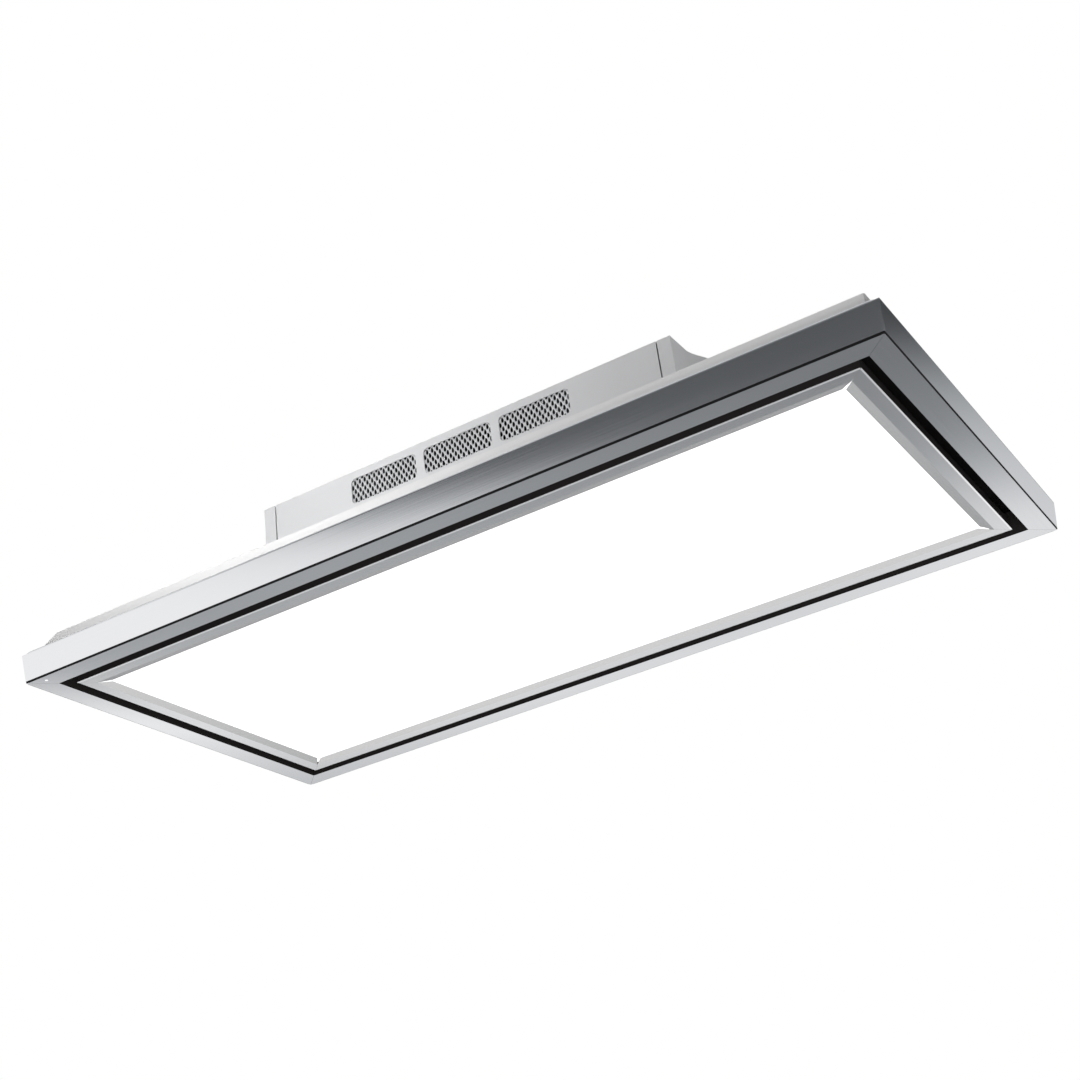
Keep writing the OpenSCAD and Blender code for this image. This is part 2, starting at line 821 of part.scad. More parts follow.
module motor_shaft() {
    color(zinc) hung() at_fan()
        translate([0, 0, motor_z - shaft_below]) cylinder(h = shaft_below + shaft_in - cut, r = shaft_r);
}

// One forward-curved blade: an arc of even thickness between two radii
function blade_line(off) = [for (i = [0:blade_steps]) let (
        t = i / blade_steps,
        r = blade_inner_r + t * (impeller_r - blade_inner_r),
        a = blade_lean * t * t / 2
    ) [r * cos(a) - off * sin(a), r * sin(a) + off * cos(a)]];

module impeller() {
    cup_floor = motor_z - cup_gap - cup_t;
    color(plastic_grey) hung() at_fan() {
        difference() {
            union() {
                translate([0, 0, impeller_top - back_t])
                    cylinder(h = back_t, r = impeller_r);
                translate([0, 0, cup_floor]) cylinder(h = impeller_top - cup_floor, r = cup_r);
                translate([0, 0, cup_floor - hub_h + cup_t]) cylinder(h = hub_h, r = hub_r);
            }
            translate([0, 0, cup_floor + cup_t])
                cylinder(h = impeller_top - cup_floor, r = cup_r - cup_t);
            translate([0, 0, cup_floor - hub_h]) cylinder(h = 2 * hub_h, r = shaft_r);
        }
        translate([0, 0, impeller_z]) difference() {
            cylinder(h = shroud_t, r = impeller_r);
            translate([0, 0, -cut]) cylinder(h = shroud_t + 2 * cut, r = impeller_r - shroud_w);
        }
        translate([0, 0, impeller_z + shroud_t / 2]) linear_extrude(blade_h - (shroud_t + back_t) / 2)
            for (i = [0:blades - 1]) rotate(i * 360 / blades)
                polygon(concat(blade_line(-blade_t / 2), reversed(blade_line(blade_t / 2))));
    }
}

// Electronics housing and light driver, hung under the lid left of the scroll
module electronics_box() {
    x0 = -box_l / 2 + sheet_t + wall_gap;
    y0 = electronics_y;
    z0 = box_top - sheet_t - electronics_h;
    color(plastic_grey) hung() translate([x0 + electronics_l / 2, y0 + electronics_w / 2, z0]) {
        translate([0, 0, cover_step]) linear_extrude(electronics_h - cover_step)
            plate2d(electronics_l, electronics_w, electronics_r);
        linear_extrude(cover_step)
            plate2d(electronics_l - 2 * cover_step, electronics_w - 2 * cover_step, electronics_r);
    }
}

module led_driver() {
    x0 = -box_l / 2 + sheet_t + wall_gap;
    y0 = electronics_y - wall_gap - driver_w;
    color(zinc) hung() translate([x0 + driver_l / 2, y0 + driver_w / 2, box_top - sheet_t - driver_h])
        linear_extrude(driver_h) plate2d(driver_l, driver_w, electronics_r);
}

module terminal_block() {
    pitch = terminal_l / terminal_ways;
    x0 = gland_x + gland_hex_r + wall_gap;
    y0 = box_d / 2 - sheet_t - terminal_w;
    color(opal) hung() translate([x0, y0, gland_z - terminal_h / 2]) {
        difference() {
            cube([terminal_l, terminal_w, terminal_h]);
            for (i = [1:terminal_ways - 1])
                translate([i * pitch - terminal_screw_h / 4, -cut, terminal_h / 2])
                    cube([terminal_screw_h / 2, terminal_w - terminal_screw_h + cut, terminal_h]);
        }
        for (i = [0:terminal_ways - 1])
            translate([(i + 1 / 2) * pitch, 0, terminal_h * 3 / 4]) rotate([90, 0, 0])
                cylinder(h = terminal_screw_h, r = terminal_screw_r);
    }
}

// Gland: nut inside, hexagon and dome outside, one bore for the supply cable
module cable_gland() {
    color(black) hung() translate([gland_x, box_d / 2, gland_z]) rotate([-90, 0, 0]) difference() {
        union() {
            translate([0, 0, -gland_thread_l])
                cylinder(h = gland_thread_l + gland_hex_t, r = gland_thread_r);
            cylinder(h = gland_hex_t, r = gland_hex_r, $fn = 6);
            translate([0, 0, -sheet_t - gland_nut_t]) cylinder(h = gland_nut_t, r = gland_hex_r, $fn = 6);
            translate([0, 0, gland_hex_t]) cylinder(h = gland_dome_l, r = gland_dome_r);
        }
        translate([0, 0, -gland_thread_l - cut])
            cylinder(h = gland_thread_l + gland_hex_t + gland_dome_l + 2 * cut, r = cable_r);
    }
}

// Hangers: foot on the deck, riser, and an ear that takes the threaded rod
module hanger() {
    ear_end = hanger_ear / 2;
    foot_start = ear_end + hanger_foot - hanger_t;
    difference() {
        union() {
            translate([-foot_start, -hanger_w / 2, casing_h]) cube([hanger_foot, hanger_w, hanger_t]);
            translate([-ear_end, -hanger_w / 2, casing_h]) cube([hanger_t, hanger_w, hanger_rise]);
            translate([0, 0, hanger_z - hanger_t]) linear_extrude(hanger_t)
                plate2d(hanger_ear, hanger_w);
        }
        translate([0, 0, hanger_z - hanger_t - cut])
            cylinder(h = hanger_t + 2 * cut, r = hanger_hole_r);
    }
}
module hanger_brackets() {
    color(zinc) hung() difference() {
        for (sx = [-1, 1], sy = [-1, 1])
            translate([sx * hanger_x, sy * hanger_y, 0]) mirror([sx < 0 ? 1 : 0, 0, 0]) hanger();
        screw_holes(hanger_screws, casing_h, casing_h + hanger_t);
    }
}

module lid_screws() {
    color(zinc) hung() for (x = lid_screw_xs, sy = [-1, 1])
        screw(x, sy * (box_d / 2 - lid_screw_inset), box_top);
}

module deck_screws() {
    color(zinc) hung() {
        for (p = hanger_screws) screw(p[0], p[1], casing_h + hanger_t);
        for (p = box_screws) screw(p[0], p[1], casing_h + sheet_t, screw_l - sheet_t);
    }
}

// Infrared receiver: a clear rod through the face plate with its sensor above
module ir_receiver() {
    color(opal) hung() translate([ir_x, ir_y, 0]) {
        cylinder(h = seat_z + sheet_t + ir_block_h / 2, r = ir_r);
        translate([-ir_block / 2, -ir_block / 2, seat_z + sheet_t])
            cube([ir_block, ir_block, ir_block_h]);
    }
}

// Hinge brackets: ears that hang from the deck and carry the pins
module across(x, t) {
    translate([x - t / 2, 0, 0]) rotate([90, 0, 90]) linear_extrude(t) children();
}
module hinge_brackets() {
    color(zinc) hung() for (s = [-1, 1]) {
        across(s * hinge_x, ear_t) difference() {
            union() {
                translate([hinge_y, hinge_z]) circle(knuckle_r);
                translate([hinge_y - knuckle_r, hinge_z])
                    square([2 * knuckle_r, deck_z - hinge_z]);
            }
            translate([hinge_y, hinge_z]) circle(pin_r + pin_clear);
        }
        translate([s * hinge_x - ear_foot_l / 2, hinge_y - ear_foot_w / 2, deck_z - ear_foot_t])
            cube([ear_foot_l, ear_foot_w, ear_foot_t]);
    }
}

module catch_brackets() {
    magnet_top = tray_top_z + striker_t + seat_gap + magnet_t;
    y0 = -panel_w / 2 + catch_inset - magnet_w / 2;
    color(zinc) hung() for (s = [-1, 1]) translate([s * catch_x - magnet_l / 2, y0, 0]) {
        translate([0, 0, magnet_top]) cube([magnet_l, magnet_w, bracket_t]);
        translate([0, magnet_w - bracket_t, magnet_top]) cube([magnet_l, bracket_t, deck_z - magnet_top]);
        translate([0, magnet_w - bracket_t, deck_z - bracket_t])
            cube([magnet_l, bracket_foot, bracket_t]);
    }
}

module catch_magnets() {
    y0 = -panel_w / 2 + catch_inset - magnet_w / 2;
    color(zinc) hung() for (s = [-1, 1])
        translate([s * catch_x - magnet_l / 2, y0, tray_top_z + striker_t + seat_gap])
            cube([magnet_l, magnet_w, magnet_t]);
}

module catch_strikers() {
    color(zinc) hung() for (s = [-1, 1])
        translate([s * catch_x - striker_l / 2, -panel_w / 2 + catch_inset - striker_w / 2, tray_top_z])
            cube([striker_l, striker_w, striker_t]);
}

// Light panel: flat ring and sloping border of one side, mitred at the ring and left
// open as a wedge at the slope's corners
module slope2d() {
    a = bezel_w;
    b = bezel_w + bevel_w;
    polygon([[a, 0], [b, bevel_h], [b, bevel_h + bezel_t], [a, bezel_t]]);
}
module bezel(side) {
    long = side == 0 || side == 2;
    half_l = (long ? panel_l : panel_w) / 2;
    half_w = (long ? panel_w : panel_l) / 2;
    color(steel) hung() {
        mitred_band(side, panel_inset, panel_inset + bezel_w, 0, bezel_t,
                    bezel_r, 0, mitre_gap);
        rotate(side * 90) intersection() {
            translate([-half_l, -half_w, 0]) rotate([90, 0, 90]) linear_extrude(2 * half_l) slope2d();
            translate([0, 0, -cut]) linear_extrude(bevel_h + bezel_t + 2 * cut)
                polygon([[-half_l + bezel_w + mitre_gap, -half_w + bezel_w],
                         [half_l - bezel_w - mitre_gap, -half_w + bezel_w],
                         [half_l - light_inset - wedge_w, -half_w + light_inset],
                         [-half_l + light_inset + wedge_w, -half_w + light_inset]]);
        }
    }
}
module bezel_front() { bezel(0); }
module bezel_right() { bezel(1); }
module bezel_rear() { bezel(2); }
module bezel_left() { bezel(3); }

module panel_block(inset_x, inset_y, z0, t) {
    translate([0, 0, z0]) linear_extrude(t) plate2d(panel_l - 2 * inset_x, panel_w - 2 * inset_y);
}

module diffuser() {
    color(opal) hung() panel_block(light_inset - diffuser_lap, light_inset - diffuser_lap,
                                   diffuser_z, diffuser_t);
}
module light_guide() {
    color([0.9, 0.95, 0.97]) hung()
        panel_block(guide_inset, light_inset - diffuser_lap, guide_z, guide_plate_t);
}
module reflector() {
    color(opal) hung() panel_block(guide_inset, light_inset - diffuser_lap, reflector_z, reflector_t);
}

// Light strips: aluminium angle, board and a row of chips at each short side
module led_strips() {
    z0 = bezel_t + tray_t;
    leg_top = reflector_z + reflector_t;
    board_w = leg_top - z0 - strip_base_t - 2 * board_margin;
    strip_l = panel_w - 2 * (tray_edge + tray_t + board_margin);
    chips = floor((strip_l - chip_pitch) / chip_pitch);
    color(zinc) hung() for (s = [-1, 1]) {
        x_leg = strip_inset + strip_leg_inset;
        mirror([s < 0 ? 1 : 0, 0, 0]) translate([panel_l / 2, 0, 0]) {
            translate([-strip_inset - strip_leg_inset - strip_leg_t, -strip_l / 2, z0])
                cube([strip_leg_inset + strip_leg_t, strip_l, strip_base_t]);
            translate([-x_leg - strip_leg_t, -strip_l / 2, z0])
                cube([strip_leg_t, strip_l, leg_top - z0]);
            translate([-x_leg - strip_leg_t - board_t, -strip_l / 2, z0 + strip_base_t + board_margin])
                cube([board_t, strip_l, board_w]);
            for (i = [0:chips - 1])
                translate([-x_leg - strip_leg_t - board_t - chip_t,
                           (i - (chips - 1) / 2) * chip_pitch - chip_l / 2,
                           guide_z + (guide_plate_t - chip_h) / 2])
                    cube([chip_t, chip_l, chip_h]);
        }
    }
}

// Tray: black pan over the light, cut back where the hinge ears pass
module panel_tray() {
    notch_l = ear_t + 2 * (leaf_gap + leaf_t + notch_gap);
    color(black) hung() difference() {
        panel_block(tray_edge, tray_edge, bezel_t, tray_top_z - bezel_t);
        panel_block(tray_edge + tray_t, tray_edge + tray_t, bezel_t + tray_t,
                    tray_top_z - bezel_t - 2 * tray_t);
        panel_block(tray_flange_w, tray_flange_w, bezel_t - cut, tray_t + 2 * cut);
        for (s = [-1, 1])
            translate([s * hinge_x - notch_l / 2, hinge_y - notch_y, notch_floor])
                cube([notch_l, notch_y + hinge_inset + cut, tray_top_z]);
    }
}

module hinge_leaves() {
    color(zinc) hung() for (s = [-1, 1]) {
        translate([s * hinge_x - leaf_plate_w / 2, hinge_y - leaf_l, tray_top_z])
            cube([leaf_plate_w, leaf_l - notch_y - notch_gap, leaf_plate_t]);
        for (k = [-1, 1]) across(s * hinge_x + k * (ear_t + leaf_t + 2 * leaf_gap) / 2, leaf_t)
            difference() {
                union() {
                    translate([hinge_y, hinge_z]) circle(leaf_r);
                    translate([hinge_y - leaf_ear_l, tray_top_z])
                        square([leaf_ear_l, leaf_ear_h - hinge_drop]);
                    translate([hinge_y - leaf_r, hinge_z]) square([leaf_r, leaf_ear_h]);
                }
                translate([hinge_y, hinge_z]) circle(pin_r);
            }
    }
}

module hinge_pins() {
    pin_l = ear_t + 2 * (leaf_gap + leaf_t);
    color(zinc) hung() for (s = [-1, 1]) translate([s * hinge_x, hinge_y, hinge_z])
        rotate([0, 90, 0]) {
            cylinder(h = pin_l, r = pin_r, center = true);
            for (k = [-1, 1]) translate([0, 0, k * (pin_l + pin_head_t) / 2])
                cylinder(h = pin_head_t, r = pin_head_r, center = true);
        }
}

// Grease filters: channel frame with a pull, and a pleated core
module filter_frame(s) {
    opening_l = filter_l - 2 * filter_flange;
    opening_w = filter_w - 2 * filter_flange;
    color(steel) hung() translate([s * filter_x, 0, filter_z]) {
        difference() {
            linear_extrude(filter_t) plate2d(filter_l, filter_w);
            translate([0, 0, filter_sheet]) linear_extrude(filter_t - 2 * filter_sheet)
                plate2d(filter_l - 2 * filter_sheet, filter_w - 2 * filter_sheet);
            translate([0, 0, -cut]) linear_extrude(filter_t + 2 * cut)
                plate2d(opening_l, opening_w);
        }
        translate([0, -filter_w / 2 + filter_flange / 2, -pull_h]) {
            for (k = [-1, 1]) translate([k * (pull_w - pull_t) / 2 - pull_t / 2, 0, 0])
                cube([pull_t, filter_flange / 2, pull_h]);
            translate([-pull_w / 2, 0, 0]) cube([pull_w, pull_l, pull_t]);
        }
    }
}
module filter_core(s) {
    core_l = filter_l - 2 * (filter_sheet + filter_clear);
    core_w = filter_w - 2 * (filter_sheet + filter_clear);
    low = filter_sheet + filter_clear;
    high = filter_t - filter_sheet - filter_clear - pleat_t;
    steps = 2 * filter_pleats;
    line = [for (i = [0:steps])
        [-core_w / 2 + i * core_w / steps, i % 2 == 0 ? low : high]];
    color(zinc) hung() translate([s * filter_x - core_l / 2, 0, filter_z])
        rotate([90, 0, 90]) linear_extrude(core_l)
            polygon(concat(line, reversed([for (p = line) [p[0], p[1] + pleat_t]])));
}
module filter_left_frame() { filter_frame(-1); }
module filter_left_core() { filter_core(-1); }
module filter_right_frame() { filter_frame(1); }
module filter_right_core() { filter_core(1); }

fascia_front();
fascia_rear();
fascia_left();
fascia_right();
face_front();
face_rear();
face_left();
face_right();
shadow_gasket();
casing_front();
casing_rear();
casing_left();
casing_right();
air_guides_long();
air_guides_short();
top_deck();
filter_rails();
filter_magnets();
box_front();
box_rear();
box_left_end();
box_right_end();
box_lid();
vent_mesh_left();
vent_mesh_middle();
vent_mesh_right();
scroll_lower();
scroll_cover();
outlet_hood();
fan_mounts();
motor();
electronics_box();
led_driver();
terminal_block();
cable_gland();
hanger_brackets();
lid_screws();
deck_screws();
ir_receiver();
hinge_brackets();
catch_brackets();
catch_magnets();
motor_shaft();
impeller();
bezel_front();
bezel_rear();
bezel_left();
bezel_right();
diffuser();
light_guide();
reflector();
led_strips();
panel_tray();
hinge_leaves();
hinge_pins();
catch_strikers();
filter_left_frame();
filter_left_core();
filter_right_frame();
filter_right_core();
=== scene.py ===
import json
import math

import bmesh
import bpy
from mathutils import Matrix, Vector


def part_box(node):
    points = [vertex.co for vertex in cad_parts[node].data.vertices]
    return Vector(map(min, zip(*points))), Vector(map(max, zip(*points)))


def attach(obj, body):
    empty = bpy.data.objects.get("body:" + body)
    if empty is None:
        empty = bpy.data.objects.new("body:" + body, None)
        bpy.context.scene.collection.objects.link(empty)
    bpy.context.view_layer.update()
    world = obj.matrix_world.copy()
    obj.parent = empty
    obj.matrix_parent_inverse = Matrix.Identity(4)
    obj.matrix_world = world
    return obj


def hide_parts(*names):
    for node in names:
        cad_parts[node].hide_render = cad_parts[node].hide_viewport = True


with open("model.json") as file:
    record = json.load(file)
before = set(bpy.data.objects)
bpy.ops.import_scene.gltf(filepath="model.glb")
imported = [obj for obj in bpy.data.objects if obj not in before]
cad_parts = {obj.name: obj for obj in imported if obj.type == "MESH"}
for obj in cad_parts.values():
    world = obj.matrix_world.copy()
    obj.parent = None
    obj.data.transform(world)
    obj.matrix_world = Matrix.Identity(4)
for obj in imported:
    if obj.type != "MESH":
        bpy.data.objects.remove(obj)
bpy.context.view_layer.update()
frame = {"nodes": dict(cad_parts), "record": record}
nodes = frame["nodes"]
scene = bpy.context.scene

# View
IMAGE_PX = 1080
FOCAL_PX = 1761.16
SENSOR_MM = 36.0
EYE = (0.826944, -1.492862, -0.869254)
RIGHT = (0.84303233, 0.52519317, -0.11605435)
UP = (0.32836474, -0.33165393, 0.88441069)
FORWARD = (-0.42599658, 0.78369497, 0.4520499)

cam_data = bpy.data.cameras.new("view")
cam_data.sensor_width = SENSOR_MM
cam_data.lens = FOCAL_PX / IMAGE_PX * SENSOR_MM
cam_data.clip_start = 0.01
cam_data.clip_end = 60.0
camera = bpy.data.objects.new("view", cam_data)
turn = Matrix((RIGHT, UP, [-v for v in FORWARD])).transposed().to_4x4()
camera.matrix_world = Matrix.Translation(EYE) @ turn
scene.collection.objects.link(camera)
scene.camera = camera
scene.view_settings.view_transform = "Standard"


# Node helpers
class Tree:
    """A node tree that is written from left to right."""

    def __init__(self, tree):
        self.tree = tree
        tree.nodes.clear()

    def add(self, kind, inputs=None, **props):
        node = self.tree.nodes.new("ShaderNode" + kind)
        for key, value in props.items():
            setattr(node, key, value)
        for key, value in (inputs or {}).items():
            self.put(node.inputs[key], value)
        return node

    def put(self, socket, value):
        if isinstance(value, bpy.types.NodeSocket):
            self.tree.links.new(value, socket)
        else:
            socket.default_value = value

    def math(self, operation, a, b):
        return self.add("Math", {0: a, 1: b}, operation=operation).outputs[0]

    def sum(self, value, factor, offset, clamp=False):
        """value * factor + offset"""
        node = self.add("Math", {0: value, 1: factor, 2: offset}, operation="MULTIPLY_ADD")
        node.use_clamp = clamp
        return node.outputs[0]

    def ramp(self, factor, stops):
        node = self.add("ValToRGB", {0: factor})
        ramp = node.color_ramp
        while len(ramp.elements) > 1:
            ramp.elements.remove(ramp.elements[-1])
        ramp.elements[0].position = stops[0][0]
        ramp.elements[0].color = rgba(stops[0][1])
        for place, value in stops[1:]:
            ramp.elements.new(place).color = rgba(value)
        return node.outputs[0]

    def mix(self, factor, a, b):
        node = self.add("Mix", data_type="RGBA", blend_type="MIX")
        self.put(node.inputs[0], factor)
        self.put(node.inputs[6], a)
        self.put(node.inputs[7], b)
        return node.outputs[2]


def rgba(value):
    if isinstance(value, (int, float)):
        value = (value, value, value)
    return (*value[:3], 1.0)


# World: what the metal mirrors, by elevation in degrees. UP is the sky over the horizon, LOW the
# room under it; towards the front the dark zone overhead comes lower. Matt surfaces get FILL.
LOW_ENDS = ([(-90, 0.60), (-50, 0.85), (-37, 1.05), (-34, 0.62)],
            [(-18.3, 0.45), (-16, 0.30), (-13, 0.28), (-6, 0.32), (-2, 0.70), (0, 1.0)])
LOW_RIGHT = [(-32.3, 0.16), (-30.9, 0.17), (-29.3, 0.23), (-27.7, 0.28), (-26.6, 0.43),
             (-25.4, 0.72), (-24.2, 0.93), (-22.6, 0.80), (-21.2, 0.50), (-20, 0.38)]
LOW_LEFT = [(-31, 0.32), (-27.5, 0.40), (-25.5, 0.31), (-23.5, 0.40), (-22.9, 0.80),
            (-22.2, 1.15), (-21.4, 1.02), (-20.9, 0.80), (-20.4, 0.66), (-19.4, 0.64)]
LOW_SIDE = [(-31, 0.45), (-26, 1.08)]
SIDE_ENDS = ([(-90, 0.60)], [(-8, 1.08), (0, 1.0)])
UP_FRONT = [(15.2, 1.06), (16.2, 0.99), (16.8, 0.92), (17.4, 0.88), (17.9, 0.81), (18.4, 0.55),
            (18.9, 0.20), (19.4, 0.115), (22.5, 0.09), (42, 0.13), (60, 0.45)]
UP_LEFT = [(30, 0.96), (90, 0.70)]
UP_REAR = [(18, 0.80), (22.0, 0.68), (23.5, 0.61), (24.7, 0.50), (26.1, 0.32), (27.0, 0.19),
           (28.2, 0.055), (31.5, 0.12), (38, 0.50), (55, 0.72)]
FILL = 0.19
TINT = 0.055

# Slope and offset of each blend along the mirrored direction's x or y
REAR_TO_LEFT = (-2.27, -0.455)
REAR_TO_SIDE = (6.0, -0.2)
FRONT_TO_LEFT = (-9.0, -4.6)
FRONT_TO_REAR = (2.5, 0.5)
world = bpy.data.worlds.new("studio")
scene.world = world
world.use_nodes = True
t = Tree(world.node_tree)
direction = t.add("TexCoord").outputs["Generated"]
parts = t.add("SeparateXYZ", {0: direction})
level = t.sum(parts.outputs[2], 0.5, 0.5)


def cool(v):
    """A grey that turns bluish as it gets darker."""
    tint = max(0.0, TINT * (1 - v))
    return (v * (1 - tint), v, v * (1 + tint))


def sky(low, up, ends=LOW_ENDS):
    stops = ends[0] + low + ends[1] + up
    return t.ramp(level, [((math.sin(math.radians(el)) + 1) / 2, cool(v)) for el, v in stops])


def blend(along, line):
    """0 to 1 along one component of the mirrored direction."""
    return t.sum(parts.outputs[along], *line, clamp=True)


rear = t.mix(blend("X", REAR_TO_LEFT), sky(LOW_RIGHT, UP_REAR), sky(LOW_LEFT, UP_REAR))
side = blend("X", REAR_TO_SIDE)
rear = t.mix(side, rear, sky(LOW_SIDE, UP_REAR, SIDE_ENDS))
front = t.mix(blend("X", FRONT_TO_LEFT), sky(LOW_RIGHT, UP_FRONT), sky(LOW_RIGHT, UP_LEFT))
seen_sky = t.mix(blend("Y", FRONT_TO_REAR), front, rear)
mirrored = t.add("Background", {"Color": seen_sky, "Strength": 1.0})
matt = t.add("Background", {"Color": rgba(1.0), "Strength": FILL})
white = t.add("Background", {"Color": rgba(1.0), "Strength": 1.0})
path = t.add("LightPath")
seen = t.math("MAXIMUM", path.outputs["Is Glossy Ray"], path.outputs["Is Transmission Ray"])
shader = t.add("MixShader", {0: seen, 1: matt.outputs[0], 2: mirrored.outputs[0]})
shader = t.add("MixShader", {0: path.outputs["Is Camera Ray"], 1: shader.outputs[0],
                             2: white.outputs[0]})
t.add("OutputWorld", {0: shader.outputs[0]})


# Lamps and floor
def lamp(name, place, target, size, power):
    data = bpy.data.lights.new(name, "AREA")
    data.shape = "RECTANGLE"
    data.size, data.size_y = size
    data.energy = power
    obj = bpy.data.objects.new(name, data)
    obj.location = place
    obj.rotation_euler = (Vector(target) - Vector(place)).to_track_quat("-Z", "Y").to_euler()
    obj.visible_glossy = obj.visible_camera = False
    scene.collection.objects.link(obj)


lamp("front_soft", (-0.17, -0.53, 0.12), (-0.17, -0.2, 0.02), (0.12, 0.10), 0.84)
lamp("rim_soft", (0.0, -0.33, -0.02), (0.0, -0.232, -0.04), (1.1, 0.02), 0.12)
lamp("below_soft", (0.95, -1.40, -1.30), (0.0, 0.0, 0.0), (1.0, 1.0), 10)
lamp("top_soft", (0.3, 0.2, 2.2), (0.0, 0.0, 0.0), (2.0, 1.6), 26)
lamp("rear_soft", (0.2, 2.0, 0.6), (0.0, 0.0, 0.0), (1.6, 1.0), 12)

FLOOR_Z = -2.1
FLOOR_REACH = 9
floor_mesh = bpy.data.meshes.new("floor")
corners = [(x * FLOOR_REACH, y * FLOOR_REACH, FLOOR_Z) for x, y in ((-1, -1), (1, -1), (1, 1), (-1, 1))]
floor_mesh.from_pydata(corners, [], [(0, 1, 2, 3)])
floor = bpy.data.objects.new("floor", floor_mesh)
scene.collection.objects.link(floor)
floor.visible_glossy = False
floor_mat = bpy.data.materials.new("floor")
floor_mat.use_nodes = True
t = Tree(floor_mat.node_tree)
speck = t.add("TexNoise", {"Scale": 9.0, "Detail": 4.0})
tone = t.ramp(speck.outputs["Fac"], [(0.3, 0.86), (0.7, 0.89)])
skin = t.add("BsdfPrincipled", {"Base Color": tone, "Roughness": 0.9})
t.add("OutputMaterial", {0: skin.outputs[0]})
floor.data.materials.append(floor_mat)


# Materials
def material(name, build):
    mat = bpy.data.materials.new(name)
    mat.use_nodes = True
    t = Tree(mat.node_tree)
    place = t.add("TexCoord").outputs["Object"]
    surface = t.add("BsdfPrincipled")
    build(t, place, surface)
    t.add("OutputMaterial", {0: surface.outputs[0]})
    return mat


def stretched(t, place, scale):
    return t.add("Mapping", {"Vector": place, "Scale": scale}, vector_type="POINT").outputs[0]


def noise(t, vector, scale, detail=2.0, rough=0.5):
    return t.add("TexNoise", {"Vector": vector, "Scale": scale, "Detail": detail,
                              "Roughness": rough}).outputs["Fac"]


def bump(t, height, distance, strength=0.5):
    return t.add("Bump", {"Height": height, "Distance": distance, "Strength": strength}).outputs[0]


def brushed(along, base, rough, metallic=1.0):
    """Stainless steel, brushed along X or Y."""
    def build(t, place, s):
        scale = (6, 900, 900) if along == "x" else (900, 6, 900)
        grain = noise(t, stretched(t, place, scale), 1.0, 3.0, 0.6)
        broad = noise(t, place, 7.0, 2.0)
        low = tuple(v * 0.965 for v in base)
        t.put(s.inputs["Base Color"], t.mix(grain, rgba(low), rgba(base)))
        fine = t.sum(grain, 0.05, rough - 0.03)
        t.put(s.inputs["Roughness"], t.sum(broad, 0.02, fine))
        s.inputs["Metallic"].default_value = metallic
        t.put(s.inputs["Normal"], bump(t, grain, 0.00001, 0.3))
    return build


def coated(base, rough, grain_size=900.0, depth=0.00003, metallic=0.0, spread=0.04, shine=0.5):
    """Powder coat or moulded plastic: fine orange peel and a slight unevenness of tone."""
    def build(t, place, s):
        peel = noise(t, place, grain_size, 2.0)
        broad = noise(t, place, 11.0, 3.0)
        low = tuple(v * (1 - spread) for v in base)
        t.put(s.inputs["Base Color"], t.mix(broad, rgba(low), rgba(base)))
        t.put(s.inputs["Roughness"], t.sum(peel, 0.10, rough - 0.05))
        s.inputs["Metallic"].default_value = metallic
        s.inputs["Specular IOR Level"].default_value = shine
        t.put(s.inputs["Normal"], bump(t, peel, depth, 0.4))
    return build


def zinc_plate(base, rough, metallic=1.0):
    """Zinc: soft crystal patches over a fine grain."""
    def build(t, place, s):
        cells = t.add("TexVoronoi", {"Vector": place, "Scale": 90.0}).outputs["Color"]
        value = t.add("RGBToBW", {0: cells}).outputs[0]
        fine = noise(t, place, 700.0, 2.0)
        tone = t.sum(value, 0.6, t.math("MULTIPLY", fine, 0.4))
        low = tuple(v * 0.86 for v in base)
        t.put(s.inputs["Base Color"], t.mix(tone, rgba(low), rgba(base)))
        t.put(s.inputs["Roughness"], t.sum(tone, 0.12, rough - 0.06))
        s.inputs["Metallic"].default_value = metallic
        t.put(s.inputs["Normal"], bump(t, fine, 0.00002, 0.3))
    return build


def opal(t, place, s):
    """Opal sheet lit from its edges: an even glow with a fine prismatic grain."""
    grain = t.add("TexVoronoi", {"Vector": place, "Scale": 420.0}).outputs["Distance"]
    tone = t.ramp(grain, [(0.0, 0.93), (0.7, 0.96)])
    t.put(s.inputs["Base Color"], tone)
    s.inputs["Roughness"].default_value = 0.35
    t.put(s.inputs["Emission Color"], tone)
    s.inputs["Emission Strength"].default_value = 1.0
    t.put(s.inputs["Normal"], bump(t, grain, 0.00002, 0.2))


def lens(t, place, s):
    """Milky window of the receiver, with a painted glow, though the receiver is no lamp."""
    speck = noise(t, place, 300.0, 2.0)
    tone = t.mix(speck, rgba((0.88, 0.89, 0.91)), rgba((0.95, 0.95, 0.96)))
    t.put(s.inputs["Base Color"], tone)
    t.put(s.inputs["Emission Color"], tone)
    # Painted glow: emission makes the receiver's window read bright though it gives no light of its own.
    s.inputs["Emission Strength"].default_value = 0.8
    s.inputs["Roughness"].default_value = 0.25


def woven(t, place, s):
    """Layered expanded aluminium of a grease filter: bright strands round small openings, whose depth is
    painted shade in near-black.
    """
    waves = []
    for turn in (0.6, -0.6):
        way = t.add("Mapping", {"Vector": place, "Rotation": (0.0, 0.0, turn)},
                    vector_type="POINT").outputs[0]
        wave = t.add("TexWave", {"Vector": way, "Scale": 75.0, "Distortion": 0.0})
        waves.append(wave.outputs["Fac"])
    strands = t.math("MAXIMUM", *waves)
    fine = noise(t, place, 500.0, 3.0)
    # Painted shade: the openings are coloured near black for the depth behind them.
    painted_hole_shade = t.ramp(strands, [(0.30, 0.05), (0.55, 0.80)])
    t.put(s.inputs["Base Color"], t.mix(t.sum(fine, 0.25, 0.0), painted_hole_shade, rgba((0.55, 0.56, 0.58))))
    t.put(s.inputs["Roughness"], t.sum(fine, 0.15, 0.33))
    s.inputs["Metallic"].default_value = 0.9
    t.put(s.inputs["Normal"], bump(t, strands, 0.0006, 0.6))


